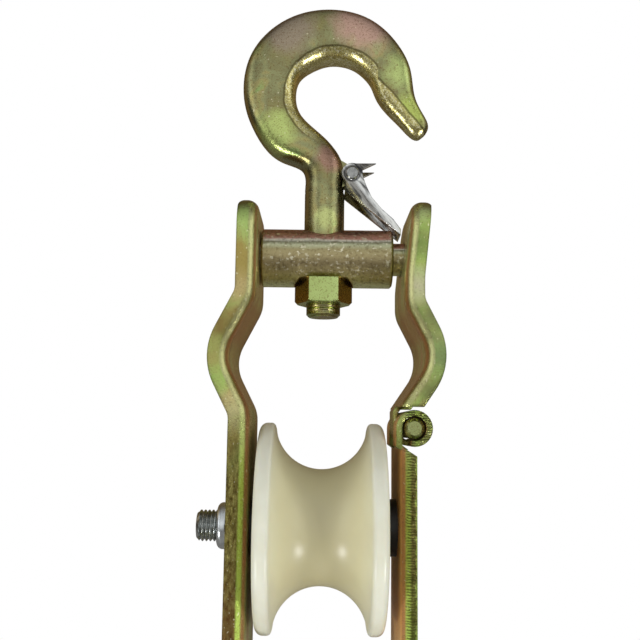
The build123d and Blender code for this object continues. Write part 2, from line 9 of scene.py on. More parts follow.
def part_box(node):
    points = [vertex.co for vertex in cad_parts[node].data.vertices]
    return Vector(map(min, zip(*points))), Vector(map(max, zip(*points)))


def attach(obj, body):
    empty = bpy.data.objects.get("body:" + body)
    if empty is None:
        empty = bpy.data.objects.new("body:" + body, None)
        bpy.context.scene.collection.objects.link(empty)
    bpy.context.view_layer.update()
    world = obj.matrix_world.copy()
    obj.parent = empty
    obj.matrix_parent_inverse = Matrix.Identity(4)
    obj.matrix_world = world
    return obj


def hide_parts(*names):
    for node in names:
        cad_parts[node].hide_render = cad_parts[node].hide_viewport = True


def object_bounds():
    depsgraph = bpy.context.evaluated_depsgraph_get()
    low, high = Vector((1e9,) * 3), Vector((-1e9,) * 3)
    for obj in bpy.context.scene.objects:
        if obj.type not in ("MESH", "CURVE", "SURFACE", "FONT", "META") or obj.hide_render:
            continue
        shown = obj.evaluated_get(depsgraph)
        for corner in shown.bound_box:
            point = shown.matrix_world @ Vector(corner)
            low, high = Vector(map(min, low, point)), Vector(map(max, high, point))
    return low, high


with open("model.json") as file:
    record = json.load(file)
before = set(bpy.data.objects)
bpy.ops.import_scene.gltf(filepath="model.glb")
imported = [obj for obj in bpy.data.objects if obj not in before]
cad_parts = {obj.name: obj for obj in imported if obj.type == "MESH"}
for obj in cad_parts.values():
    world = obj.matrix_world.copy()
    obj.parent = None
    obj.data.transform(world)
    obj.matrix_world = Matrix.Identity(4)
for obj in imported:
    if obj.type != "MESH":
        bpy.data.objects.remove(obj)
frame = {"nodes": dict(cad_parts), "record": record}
box_of_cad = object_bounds()
nodes = frame["nodes"]


# ---- Forged hook, its nut ----------------------------------------------------------------
# Drop-forged steel with a turned shank, zinc plated and yellow chromated. The chromate is
# olive with green, gold and pink clouds, and forging scale shows through it as fine pits.
# Surfaces facing up carry a painted pink reflection, and those facing sideways painted shade.

class Finish:
    """A material built from noise, ramps and mixes on the object's own coordinates."""

    def __init__(self, name):
        self.material = bpy.data.materials.new(name)
        self.material.use_nodes = True
        self.tree = self.material.node_tree
        self.surface = self.tree.nodes["Principled BSDF"]
        coordinates = self.tree.nodes.new("ShaderNodeTexCoord")
        self.place = coordinates.outputs["Object"]
        self.normal = coordinates.outputs["Normal"]

    def put(self, socket, value):
        """Link a socket, or set a constant on it."""
        if isinstance(value, bpy.types.NodeSocket):
            self.tree.links.new(value, socket)
        elif socket.type == "RGBA":
            socket.default_value = (*value, 1.0)
        else:
            socket.default_value = value

    def noise(self, size, detail=3.0, roughness=0.55, stretch=(1, 1, 1), shift=(0, 0, 0), warp=0.0):
        """Noise with blobs about size metres across, drawn out by stretch."""
        mapping = self.tree.nodes.new("ShaderNodeMapping")
        texture = self.tree.nodes.new("ShaderNodeTexNoise")
        self.put(mapping.inputs["Vector"], self.place)
        self.put(mapping.inputs["Scale"], stretch)
        self.put(mapping.inputs["Location"], shift)
        self.put(texture.inputs["Vector"], mapping.outputs["Vector"])
        self.put(texture.inputs["Scale"], 1.0 / size)
        self.put(texture.inputs["Detail"], detail)
        self.put(texture.inputs["Roughness"], roughness)
        self.put(texture.inputs["Distortion"], warp)
        return texture.outputs["Fac"]

    def math(self, operation, first, second=0.0, third=0.0):
        """One sum between values or sockets."""
        node = self.tree.nodes.new("ShaderNodeMath")
        node.operation = operation
        for socket, value in zip(node.inputs, (first, second, third)):
            self.put(socket, value)
        return node.outputs["Value"]

    def ramp(self, value, *stops):
        """Colours, or greys given as one number, along a value."""
        node = self.tree.nodes.new("ShaderNodeValToRGB")
        self.put(node.inputs["Fac"], value)
        elements = node.color_ramp.elements
        while len(elements) < len(stops):
            elements.new(1.0)
        for element, (position, colour) in zip(elements, stops):
            element.position = position
            element.color = (colour,) * 3 + (1,) if isinstance(colour, float) else (*colour, 1)
        return node.outputs["Color"]

    def mix(self, factor, first, second):
        """The first colour turned into the second by factor."""
        node = self.tree.nodes.new("ShaderNodeMix")
        node.data_type = "RGBA"
        for name, value in (("Factor_Float", factor), ("A_Color", first), ("B_Color", second)):
            self.put(next(s for s in node.inputs if s.identifier == name), value)
        return next(s for s in node.outputs if s.identifier == "Result_Color")

    def axis(self, vector, name):
        """One component of a vector."""
        node = self.tree.nodes.new("ShaderNodeSeparateXYZ")
        self.put(node.inputs["Vector"], vector)
        return node.outputs[name]

    def near(self, point, reach, edge=0.5, ragged=0.004):
        """1 close to a point, falling to 0 at reach, with a ragged border."""
        distance = self.tree.nodes.new("ShaderNodeVectorMath")
        distance.operation = "DISTANCE"
        self.put(distance.inputs[0], self.place)
        self.put(distance.inputs[1], point)
        wander = self.math("MULTIPLY_ADD", self.noise(0.006, 3.0), 2 * ragged, -ragged)
        wandered = self.math("ADD", distance.outputs["Value"], wander)
        scaled = self.math("DIVIDE", wandered, reach)
        return self.ramp(scaled, (edge, 1.0), (1.0, 0.0))

    def bump(self, height, distance, strength=1.0, edges=0.0):
        """Relief, over corners that look rounded by edges metres."""
        node = self.tree.nodes.new("ShaderNodeBump")
        if edges:
            rounding = self.tree.nodes.new("ShaderNodeBevel")
            rounding.samples = 6
            self.put(rounding.inputs["Radius"], edges)
            self.put(node.inputs["Normal"], rounding.outputs["Normal"])
        self.put(node.inputs["Height"], height)
        self.put(node.inputs["Distance"], distance)
        self.put(node.inputs["Strength"], strength)
        self.put(self.surface.inputs["Normal"], node.outputs["Normal"])

    def done(self, colour, roughness, metallic, **more):
        """Set the surface and return the material."""
        self.put(self.surface.inputs["Base Color"], colour)
        self.put(self.surface.inputs["Roughness"], roughness)
        self.put(self.surface.inputs["Metallic"], metallic)
        for name, value in more.items():
            self.put(self.surface.inputs[name.replace("_", " ")], value)
        return self.material


OLIVE = (0.28, 0.26, 0.11)
TOP_REFLECTION_PINK = (0.50, 0.30, 0.22)
BROWN = (0.15, 0.075, 0.025)


def chromate(name, clouds, pit_depth=0.0003, side_shade=0.75, top_reflection=0.35, patches=(),
             extra=None, side_shade_colour=BROWN, edges=0.0):
    """Yellow chromate on zinc: cloud stops, pitting, patches as (colour, point, reach), a painted pink
    reflection on up-facing surfaces and painted shade on sideways ones.

    extra(finish, colour) returns another colour and one more height for the relief.
    """
    finish = Finish(name)
    cloud = finish.noise(0.013, 3.0, 0.5, warp=0.5)
    colour = finish.ramp(cloud, *clouds)
    for patch_colour, point, reach in patches:
        colour = finish.mix(finish.near(point, reach), colour, patch_colour)
    sideways = finish.math("ABSOLUTE", finish.axis(finish.normal, "X"))
    upward = finish.axis(finish.normal, "Z")
    # Painted reflection: surfaces facing up are mixed towards pink, more the further up they face.
    top_reflection_mask = finish.math("MULTIPLY", finish.ramp(upward, (0.45, 0.0), (0.85, 1.0)), top_reflection)
    # Painted shade: surfaces facing sideways are mixed towards a dark colour, more the further sideways
    # they face.
    side_shade_mask = finish.math("MULTIPLY", finish.ramp(sideways, (0.55, 0.0), (0.97, 1.0)), side_shade)
    colour = finish.mix(top_reflection_mask, colour, TOP_REFLECTION_PINK)
    colour = finish.mix(side_shade_mask, colour, side_shade_colour)
    grain = finish.noise(0.0007, 3.0, 0.6)
    relief = finish.math("MULTIPLY_ADD", grain, 0.5, finish.math("MULTIPLY", finish.noise(0.005), 2.2))
    if extra:
        colour, height = extra(finish, colour)
        relief = finish.math("ADD", relief, height)
    colour = finish.mix(finish.ramp(grain, (0.34, 0.55), (0.47, 0.0)), colour, BROWN)
    bright = finish.ramp(finish.noise(0.0011, 2.0, 0.5, shift=(3, 1, 2)), (0.69, 0.0), (0.74, 0.6))
    colour = finish.mix(bright, colour, (0.85, 0.80, 0.55))
    finish.bump(relief, pit_depth, 0.4, edges=edges)
    return finish.done(colour, finish.math("MULTIPLY_ADD", grain, 0.22, 0.17), 1.0)


BOWL = (0.0040, -0.0165)          # centre of the bowl, x and z
BOWL_R = 0.0165
BAND = 0.0052                     # width of the coined band round the inner edge
TIP_FOOT = (0.0213, -0.0154)      # where the bowl turns into the tip's straight flank
TIP_ACROSS = (0.747, 0.668)       # direction across that flank, outwards
THREAD_TOP_Z = -0.1025            # the shank's thread starts inside the nut
THREAD_PITCH = 0.00175


def hook_band(finish, colour):
    """Bright coined band round the inner edge, with painted shade along the crease at its border, and the
    thread under the nut.
    """
    x = finish.axis(finish.place, "X")
    z = finish.axis(finish.place, "Z")
    dx = finish.math("SUBTRACT", x, BOWL[0])
    dz = finish.math("SUBTRACT", z, BOWL[1])
    squares = finish.math("ADD", finish.math("MULTIPLY", dx, dx), finish.math("MULTIPLY", dz, dz))
    round_in = finish.math("SUBTRACT", finish.math("SQRT", squares), BOWL_R)
    along_x = finish.math("MULTIPLY", finish.math("SUBTRACT", x, TIP_FOOT[0]), TIP_ACROSS[0])
    along_z = finish.math("MULTIPLY", finish.math("SUBTRACT", z, TIP_FOOT[1]), TIP_ACROSS[1])
    tip_in = finish.math("ADD", along_x, along_z)
    past_tip = finish.math("GREATER_THAN", x, TIP_FOOT[0])
    inward = finish.math("ADD", finish.math("MULTIPLY", past_tip, tip_in),
                         finish.math("MULTIPLY", finish.math("SUBTRACT", 1.0, past_tip), round_in))
    wander = finish.math("MULTIPLY_ADD", finish.noise(0.008), 0.0016, -0.0008)
    share = finish.math("DIVIDE", finish.math("ADD", inward, wander), BAND)
    on_bowl = finish.ramp(finish.math("MULTIPLY_ADD", z, 20.0, 1.0), (0.26, 0.0), (0.40, 1.0))
    mask = finish.math("MULTIPLY", finish.ramp(share, (0.80, 0.9), (0.88, 0.0)), on_bowl)
    scratches = finish.noise(0.0012, 3.0, 0.6, shift=(1, 1, 1), warp=1.5)
    gold = finish.ramp(scratches, (0.38, (0.46, 0.40, 0.14)), (0.52, (0.74, 0.68, 0.28)),
                       (0.64, (0.95, 0.93, 0.66)))
    colour = finish.mix(mask, colour, gold)
    # Painted shade: a dark line along the crease at the band's border.
    crease_shade = finish.ramp(share, (0.78, 0.0), (0.88, 0.75), (0.95, 0.75), (1.0, 0.0))
    colour = finish.mix(finish.math("MULTIPLY", crease_shade, on_bowl), colour, (0.13, 0.11, 0.04))
    slope = finish.math("MULTIPLY", finish.ramp(share, (0.0, 0.0), (1.0, 1.0)), on_bowl)
    turns = finish.math("SINE", finish.math("MULTIPLY", z, 2 * math.pi / THREAD_PITCH))
    threaded = finish.math("LESS_THAN", z, THREAD_TOP_Z)
    height = finish.math("ADD", finish.math("MULTIPLY", slope, 1.6),
                         finish.math("MULTIPLY", finish.math("MULTIPLY", turns, threaded), 1.2))
    return colour, height


hook_clouds = [(0.36, OLIVE), (0.44, (0.26, 0.25, 0.12)), (0.52, (0.30, 0.31, 0.15)),
               (0.60, (0.38, 0.34, 0.14)), (0.68, (0.32, 0.42, 0.15))]
hook_patches = [
    ((0.55, 0.36, 0.28), (0.016, -0.01, 0.016), 0.017),
    ((0.34, 0.28, 0.20), (-0.016, -0.01, 0.012), 0.014),
    ((0.50, 0.60, 0.20), (-0.021, -0.01, -0.033), 0.012),
    ((0.52, 0.62, 0.16), (0.036, -0.01, -0.022), 0.011),
    ((0.50, 0.60, 0.22), (0.031, -0.01, -0.006), 0.010),
    ((0.55, 0.60, 0.24), (0.001, -0.01, -0.068), 0.007),
    ((0.36, 0.22, 0.16), (0.003, -0.01, -0.043), 0.008),
]
nut_clouds = [(0.4, (0.48, 0.60, 0.22)), (0.6, (0.42, 0.52, 0.18))]


def dress(finish, *names):
    """Give the named CAD pieces one finish."""
    for name in names:
        materials = nodes[name].data.materials
        materials.clear()
        materials.append(finish)


dress(chromate("hook_chromate", hook_clouds, side_shade=0.35, top_reflection=0.45, patches=hook_patches,
               extra=hook_band), "hook")
dress(chromate("nut_chromate", nut_clouds, pit_depth=0.0001, side_shade=0.95, top_reflection=0.2,
               side_shade_colour=(0.44, 0.19, 0.05), edges=0.0008), "hook_nut")


# ---- Swivel barrel -----------------------------------------------------------------------
# Turned bar with coarse tool marks round it, chromated like the hook. Painted reflection bands it by how
# far
# up the surface faces: pink along its top, a white highlight and a pale band under that, speckled
# olive-brown below.

def barrel_chromate():
    """Painted reflection bands by how far up the surface faces, under dark speckle and pale flecks."""
    finish = Finish("barrel_chromate")
    speckle = finish.noise(0.0012, 4.0, 0.65)
    cloud = finish.noise(0.010, 3.0, 0.5, stretch=(0.5, 1, 1.6), warp=0.4)
    upward = finish.axis(finish.normal, "Z")
    wander = finish.math("ADD", upward, finish.math("MULTIPLY_ADD", cloud, 0.16, -0.08))
    # Painted reflection and highlight: colour bands chosen by which way the surface faces, green
    # underneath, white highlight and pink on top.
    reflection_bands = finish.ramp(finish.math("MULTIPLY_ADD", wander, 0.5, 0.5), (0.0, (0.72, 0.76, 0.36)),
                        (0.18, (0.42, 0.36, 0.16)), (0.34, (0.44, 0.36, 0.19)), (0.56, (0.38, 0.33, 0.17)),
                        (0.64, (0.58, 0.60, 0.38)), (0.70, (0.26, 0.26, 0.17)), (0.735, (0.85, 0.80, 0.66)),
                        (0.77, (0.62, 0.32, 0.25)))
    dark = finish.ramp(speckle, (0.38, 0.5), (0.50, 0.0))
    colour = finish.mix(dark, reflection_bands, (0.16, 0.12, 0.05))
    flecks = finish.noise(0.0014, 3.0, 0.6, stretch=(0.8, 1, 1), shift=(5, 2, 1))
    colour = finish.mix(finish.ramp(flecks, (0.58, 0.0), (0.67, 0.8)), colour, (0.86, 0.82, 0.60))
    turning = finish.noise(0.0005, 2.0, 0.5, stretch=(1, 0.1, 0.1))
    finish.bump(finish.math("ADD", speckle, turning), 0.0004, 0.35, edges=0.0007)
    return finish.done(colour, finish.math("MULTIPLY_ADD", speckle, 0.25, 0.2), 1.0)


dress(barrel_chromate(), "swivel_barrel", "spigot_washer")


# ---- Straps, gate and hinge --------------------------------------------------------------
# Pressed steel sheet, plated after bending. The flanges are green and gold with darker
# patches, the webs between them brown, and below the hinge the plating is rough and dark.
# Painted highlights run along the bends and lie in two spots on the flanges.

strap_clouds = [(0.36, (0.38, 0.30, 0.09)), (0.43, (0.42, 0.44, 0.14)), (0.50, (0.38, 0.52, 0.14)),
                (0.58, (0.44, 0.50, 0.16)), (0.66, (0.44, 0.36, 0.12))]
strap_patches_and_highlights = [
    ((0.40, 0.54, 0.17), (-0.030, -0.02, -0.072), 0.012),
    ((0.50, 0.40, 0.18), (-0.032, -0.02, -0.100), 0.010),
    ((0.25, 0.19, 0.06), (-0.038, -0.02, -0.113), 0.012),
    ((0.40, 0.36, 0.12), (-0.042, -0.02, -0.125), 0.009),
    # painted highlight on the left strap's flange
    ((0.66, 0.60, 0.30), (-0.033, -0.02, -0.146), 0.010),
    ((0.66, 0.80, 0.34), (0.036, -0.02, -0.066), 0.009),
    ((0.18, 0.25, 0.07), (0.036, -0.02, -0.081), 0.009),
    # painted highlight on the gate's flange
    ((0.56, 0.55, 0.34), (0.036, -0.02, -0.098), 0.010),
    ((0.20, 0.21, 0.09), (0.041, -0.02, -0.110), 0.010),
    ((0.22, 0.30, 0.12), (0.044, -0.02, -0.124), 0.011),
    ((0.19, 0.21, 0.08), (0.040, -0.02, -0.138), 0.009),
]
SHEARED_EDGE_X = 0.0352           # outer edge of the right lower strap's flanges
SHEAR_FROM_X = 0.0300             # the cut's lines run from here to that edge
SHEAR_LINE_PITCH = 0.0010
BURR = 0.0016                     # width of the bright burr along the edge
RAGGED = 0.0030                   # how far the borders of lines and burr wander


def strap_chromate(name, sheared):
    """Green above, rough brown below the hinge.

    sheared adds the cut edge's lines and its burr, painted bright as an edge highlight, and leaves out the
    patches above.
    """
    finish = Finish(name)
    height = finish.axis(finish.place, "Z")
    upper = finish.ramp(finish.noise(0.016, 3.0, 0.5, stretch=(1, 1, 0.7), warp=0.5), *strap_clouds)
    # Patches of tone, two of them painted highlights, on the unsheared straps.
    for patch_colour, point, reach in () if sheared else strap_patches_and_highlights:
        upper = finish.mix(finish.near(point, reach, 0.3, 0.003), upper, patch_colour)
    lower_cloud = finish.noise(0.0016, 4.0, 0.65, stretch=(1, 1, 0.45))
    lower = finish.ramp(lower_cloud, (0.36, (0.07, 0.05, 0.01)), (0.50, (0.20, 0.17, 0.05)),
                        (0.66, (0.34, 0.31, 0.10)))
    depth = finish.math("MULTIPLY_ADD", finish.noise(0.01), 0.02, finish.math("SUBTRACT", height, 0.01))
    foot = finish.ramp(finish.math("MULTIPLY_ADD", depth, -20.0, -3.9), (0.0, 0.0), (0.6, 0.65))
    lower = finish.mix(foot, lower, (0.09, 0.15, 0.02) if sheared else (0.13, 0.05, 0.02))
    below = finish.ramp(finish.math("MULTIPLY_ADD", depth, -12.5, -1.40), (0.35, 0.0), (0.75, 1.0))
    colour = finish.mix(below, upper, lower)
    sideways = finish.math("ABSOLUTE", finish.axis(finish.normal, "X"))
    web = finish.ramp(sideways, (0.45, 0.0), (0.92, 1.0))
    streaks = finish.noise(0.014, 3.0, 0.5, stretch=(1, 1, 0.35))
    web_colour = finish.ramp(streaks, (0.38, (0.38, 0.26, 0.09)), (0.50, (0.48, 0.43, 0.15)),
                             (0.58, (0.38, 0.45, 0.16)), (0.68, (0.54, 0.30, 0.14)))
    film = 0.45                       # how much the chromate film dulls the web's metal
    if sheared:
        # Painted light: the right strap's inward-facing web lies in the sheave's shade, and is painted a
        # light orange with less metal to stand in for light there.
        inward = finish.ramp(finish.axis(finish.normal, "X"), (0.0, 1.0), (0.1, 0.0))
        web_colour = finish.mix(finish.math("MULTIPLY", inward, 0.7), web_colour, (1.0, 0.50, 0.16))
        film = finish.math("MULTIPLY_ADD", inward, 0.40, film)
    # Painted highlight: a golden band along the bends, green below the hinge.
    bend_highlight = finish.ramp(sideways, (0.20, 0.0), (0.36, 0.8), (0.60, 0.8), (0.72, 0.0))
    bend_highlight_colour = finish.mix(below, (0.56, 0.56, 0.26), (0.52, 0.72, 0.14))
    colour = finish.mix(web, colour, web_colour)
    colour = finish.mix(bend_highlight, colour, bend_highlight_colour)
    inner_bend = finish.ramp(sideways, (0.66, 0.0), (0.78, 0.7), (0.88, 0.7), (0.97, 0.0))
    colour = finish.mix(inner_bend, colour, (0.44, 0.19, 0.08))
    upward = finish.axis(finish.normal, "Z")
    colour = finish.mix(finish.ramp(upward, (0.5, 0.0), (0.9, 0.6)), colour, (0.42, 0.36, 0.26))
    grain = finish.noise(0.0006, 3.0, 0.6)
    colour = finish.mix(finish.ramp(grain, (0.34, 0.45), (0.45, 0.0)), colour, BROWN)
    flecks = finish.noise(0.0010, 2.0, 0.5, stretch=(1, 1, 0.6), shift=(3, 1, 2))
    colour = finish.mix(finish.ramp(flecks, (0.66, 0.0), (0.72, 0.6)), colour, (0.85, 0.82, 0.55))
    relief = finish.math("MULTIPLY", finish.math("ADD", lower_cloud, grain), below)
    if sheared:
        x = finish.axis(finish.place, "X")
        torn = finish.math("SUBTRACT", x, RAGGED / 2)
        torn = finish.math("MULTIPLY_ADD", finish.noise(0.0016, 3.0, 0.6), RAGGED, torn)
        sway = finish.math("MULTIPLY", finish.noise(0.004, 3.0, 0.6), 14.0)
        phase = finish.math("MULTIPLY_ADD", height, 2 * math.pi / SHEAR_LINE_PITCH, sway)
        lines = finish.math("MULTIPLY_ADD", finish.math("SINE", phase), 0.5, 0.5)
        past_start = finish.math("MULTIPLY", finish.math("SUBTRACT", torn, SHEAR_FROM_X), 500.0)
        cut = finish.ramp(past_start, (0.3, 0.0), (0.8, 1.0))
        line_mask = finish.math("MULTIPLY", finish.ramp(lines, (0.25, 0.75), (0.60, 0.0)), cut)
        colour = finish.mix(line_mask, colour, (0.08, 0.08, 0.02))
        # The burr along the cut edge is real. Its bright green is a painted edge highlight.
        past_burr = finish.math("SUBTRACT", torn, SHEARED_EDGE_X - BURR)
        burr_highlight = finish.ramp(finish.math("MULTIPLY", past_burr, 500.0), (0.3, 0.0), (0.6, 0.6))
        on_flange = finish.math("LESS_THAN", x, SHEARED_EDGE_X + 0.0010)
        colour = finish.mix(finish.math("MULTIPLY", burr_highlight, on_flange), colour, (0.44, 0.60, 0.12))
        relief = finish.math("ADD", relief, finish.math("MULTIPLY", lines, cut))
    waves = finish.math("MULTIPLY", finish.noise(0.014, 2.0, 0.5, stretch=(1, 1, 0.6)), 3.0)
    relief = finish.math("ADD", relief, finish.math("MULTIPLY_ADD", grain, 0.3, waves))
    finish.bump(relief, 0.0005, 0.5, edges=0.0020)
    rough = finish.math("MULTIPLY_ADD", below, 0.14, finish.math("MULTIPLY_ADD", grain, 0.16, 0.14))
    return finish.done(colour, rough, finish.math("SUBTRACT", 1.0, finish.math("MULTIPLY", web, film)))


dress(strap_chromate("strap_chromate", False), "left_strap", "gate_strap")
dress(strap_chromate("sheared_strap_chromate", True), "right_strap")
pin_clouds = [(0.4, (0.32, 0.36, 0.14)), (0.6, (0.38, 0.42, 0.18))]
dress(chromate("hinge_chromate", pin_clouds, pit_depth=0.0002), "hinge_pin")


# ---- Latch, rivet and spring -------------------------------------------------------------
# Bright zinc plated sheet, pressed and polished, with drawn streaks along it. The rivet is
# the same steel, sunk in a dark ring, and the spring is plain wire.

LATCH_ACROSS = (0.789, 0.614)     # direction across the latch, in x and z
LATCH_MIDDLE = 0.0013             # from its box's top left corner to its middle line
DOME = 95.0                       # how strongly its cheeks bulge, per metre
latch_low, latch_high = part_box("latch")
rivet_low, rivet_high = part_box("latch_rivet")


def bright_steel(name, colour, rough, clouding=0.35, cloud_size=0.005):
    """Bright zinc with darker clouds."""
    finish = Finish(name)
    cloud = finish.noise(cloud_size, 3.0, 0.5, warp=0.4)
    dark = tuple(0.45 * c for c in colour)
    tint = finish.mix(finish.ramp(cloud, (0.40, 0.0), (0.68, clouding)), colour, dark)
    dust = finish.noise(0.0005, 3.0, 0.6)
    finish.bump(finish.math("ADD", dust, cloud), 0.0002, 0.18)
    return finish.done(tint, finish.math("MULTIPLY_ADD", dust, 0.16, rough - 0.06), 1.0)


def latch_zinc():
    """Polished sheet whose cheeks are pressed slightly domed, with drawn streaks."""
    finish = Finish("latch_zinc")
    x = finish.math("SUBTRACT", finish.axis(finish.place, "X"), latch_low[0])
    z = finish.math("SUBTRACT", finish.axis(finish.place, "Z"), latch_high[2])
    fall = finish.math("MULTIPLY_ADD", z, LATCH_ACROSS[1], -LATCH_MIDDLE)
    across = finish.math("ADD", finish.math("MULTIPLY", x, LATCH_ACROSS[0]), fall)
    dome = finish.math("MULTIPLY", finish.math("MULTIPLY", across, across), -DOME)
    along = finish.math("SUBTRACT", finish.math("MULTIPLY", x, LATCH_ACROSS[1]),
                        finish.math("MULTIPLY", z, LATCH_ACROSS[0]))
    drawn = finish.tree.nodes.new("ShaderNodeCombineXYZ")
    finish.put(drawn.inputs["X"], finish.math("MULTIPLY", across, 500.0))
    finish.put(drawn.inputs["Y"], finish.math("MULTIPLY", along, 110.0))
    finish.put(drawn.inputs["Z"], finish.math("MULTIPLY", finish.axis(finish.place, "Y"), 200.0))
    texture = finish.tree.nodes.new("ShaderNodeTexNoise")
    finish.put(texture.inputs["Vector"], drawn.outputs["Vector"])
    finish.put(texture.inputs["Scale"], 1.0)
    finish.put(texture.inputs["Detail"], 2.0)
    tint = finish.ramp(texture.outputs["Fac"], (0.36, (0.10, 0.10, 0.10)), (0.44, (0.40, 0.41, 0.40)),
                       (0.52, (0.78, 0.80, 0.78)), (0.62, (0.70, 0.71, 0.68)), (0.70, (0.35, 0.35, 0.34)))
    squares = []
    for i, name in ((0, "X"), (2, "Z")):
        middle = (rivet_low[i] + rivet_high[i]) / 2
        from_middle = finish.math("SUBTRACT", finish.axis(finish.place, name), middle)
        squares.append(finish.math("POWER", from_middle, 2.0))
    distance = finish.math("SQRT", finish.math("ADD", *squares))
    reach = finish.math("DIVIDE", distance, rivet_high[2] - rivet_low[2])
    ring = finish.ramp(reach, (0.48, 0.0), (0.54, 0.85), (0.60, 0.85), (0.70, 0.0))
    tint = finish.mix(ring, tint, (0.05, 0.05, 0.05))
    finish.bump(dome, 1.0, 1.0, edges=0.0006)
    return finish.done(tint, 0.2, 1.0)


dress(latch_zinc(), "latch")
dress(bright_steel("rivet_zinc", (0.36, 0.37, 0.36), 0.2, 0.9, 0.002), "latch_rivet")
dress(bright_steel("spring_wire", (0.50, 0.50, 0.48), 0.3), "latch_spring")


# ---- Sheave ------------------------------------------------------------------------------
# Cast nylon, turned to shape: ivory, a little translucent, smooth, with faint turning marks,
# and painted shade that darkens it towards the bottom of the groove.

def nylon():
    """Ivory with painted shade, darker towards the bottom of the groove."""
    finish = Finish("ivory_nylon")
    axle_z = sum(corner[2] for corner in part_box("sheave")) / 2
    across = finish.axis(finish.place, "Y")
    rise = finish.math("SUBTRACT", finish.axis(finish.place, "Z"), axle_z)
    squares = finish.math("ADD", finish.math("POWER", across, 2.0), finish.math("POWER", rise, 2.0))
    radius = finish.math("SQRT", squares)
    # Painted shade: darker the nearer the surface lies to the axle, deepest at the groove's bottom.
    tone = finish.ramp(finish.math("MULTIPLY", radius, 25.0), (0.50, (0.60, 0.55, 0.33)),
                       (0.72, (0.78, 0.74, 0.48)), (0.90, (0.90, 0.89, 0.66)), (0.98, (0.94, 0.95, 0.80)))
    cloud = finish.ramp(finish.noise(0.018, 3.0, 0.5), (0.40, 0.0), (0.70, 0.25))
    tone = finish.mix(cloud, tone, (0.62, 0.57, 0.36))
    finish.bump(finish.noise(0.0011, 2.0, 0.5, stretch=(1, 0.02, 0.02)), 0.0002, 0.12)
    return finish.done(tone, 0.30, 0.0, Subsurface_Weight=0.15, Subsurface_Scale=0.006,
                       Subsurface_Radius=(1.0, 0.8, 0.5), Specular_IOR_Level=0.45)


dress(nylon(), "sheave")


# ---- Bearings, spacers and bolts ---------------------------------------------------------
# Ground bearing steel behind black rubber seals, blackened spacers, and plain zinc plated
# nuts with a nylon locking ring.

def dull(name, colour, rough):
    """Dusty black or plastic surface."""
    finish = Finish(name)
    dust = finish.noise(0.001, 3.0, 0.6)
    tint = finish.mix(finish.ramp(dust, (0.4, 0.0), (0.7, 0.6)), colour, tuple(1.8 * c for c in colour))
    finish.bump(dust, 0.0002, 0.3)
    return finish.done(tint, rough, 0.0)


slot_finish = {
    "bright_steel": bright_steel("bolt_zinc", (0.66, 0.70, 0.72), 0.22),
    "bearing_steel": bright_steel("bearing_steel", (0.60, 0.61, 0.62), 0.18),
    "black_steel": dull("black_steel", (0.012, 0.012, 0.013), 0.4),
    "black_rubber": dull("black_rubber", (0.016, 0.016, 0.018), 0.6),
    "nylon_insert": dull("nylon_insert", (0.42, 0.46, 0.48), 0.5),
}
for part in frame["record"]["subparts"]:
    if part["material_slot"] in slot_finish and part["node"] != "latch_spring":
        dress(slot_finish[part["material_slot"]], part["node"])


# ---- Axle with its thread ----------------------------------------------------------------
# Plain zinc plated axle bolt: a flat disc head in the right channel, a ground shank through
# the bearings, and a rolled thread from the left strap to its blunt end.

axle_low, axle_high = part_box("axle_bolt")
AXLE_R = 0.0060
AXLE_ROOT_R = 0.0052
AXLE_PITCH = 0.00155
HEAD_T = 0.0025
AROUND = 64
axle_z = (axle_low[2] + axle_high[2]) / 2
head_r = (axle_high[2] - axle_low[2]) / 2
thread_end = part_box("left_strap")[1][0]


def axle_radius(x, turn):
    """Radius at a place along the axle, for a turn from 0 to 1 round it."""
    if x > axle_high[0] - HEAD_T:
        return head_r - max(0.0, x - (axle_high[0] - 0.0007))
    if x > thread_end:
        return AXLE_R
    wave = abs(((x / AXLE_PITCH + turn) % 1.0) * 2 - 1)
    crest = min(1.0, max(0.0, wave * 1.5 - 0.2))
    blunt = max(0.0, 0.0012 - (x - axle_low[0]))
    return min(AXLE_ROOT_R + (AXLE_R - AXLE_ROOT_R) * crest, AXLE_R - blunt)


thread_steps = round((thread_end - axle_low[0]) / AXLE_PITCH * 8)
stations = [axle_low[0] + (thread_end - axle_low[0]) * i / thread_steps for i in range(thread_steps + 1)]
stations += [thread_end + 0.00001, axle_high[0] - HEAD_T, axle_high[0] - HEAD_T + 0.00001,
             axle_high[0] - 0.0007, axle_high[0]]
verts = []
for x in stations:
    for i in range(AROUND):
        angle = 2 * math.pi * i / AROUND
        radius = axle_radius(x, i / AROUND)
        verts.append((x, -radius * math.sin(angle), axle_z + radius * math.cos(angle)))
faces = []
for row in range(len(stations) - 1):
    for i in range(AROUND):
        j = (i + 1) % AROUND
        faces.append((row * AROUND + i, row * AROUND + j, (row + 1) * AROUND + j, (row + 1) * AROUND + i))
faces.append(tuple(range(AROUND))[::-1])
faces.append(tuple(range((len(stations) - 1) * AROUND, len(stations) * AROUND)))
axle_mesh = bpy.data.meshes.new("threaded_axle")
axle_mesh.from_pydata(verts, [], faces)
axle_mesh.shade_smooth()
axle_mesh.set_sharp_from_angle(angle=math.radians(50))
axle = bpy.data.objects.new("threaded_axle", axle_mesh)
bpy.context.scene.collection.objects.link(axle)
axle_mesh.materials.append(bright_steel("thread_zinc", (0.50, 0.53, 0.52), 0.24, 0.8, 0.002))
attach(axle, "frame")
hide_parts("axle_bolt")


# ---- Backdrop, light and camera ----------------------------------------------------------
# A white studio: the floor and the far wall are white to the camera. Metal mirrors a softer
# room: bright in front, a pale strip at each side, and warm and dim behind. Two small lamps
# stand low at both sides, and make the sheave's two glints.

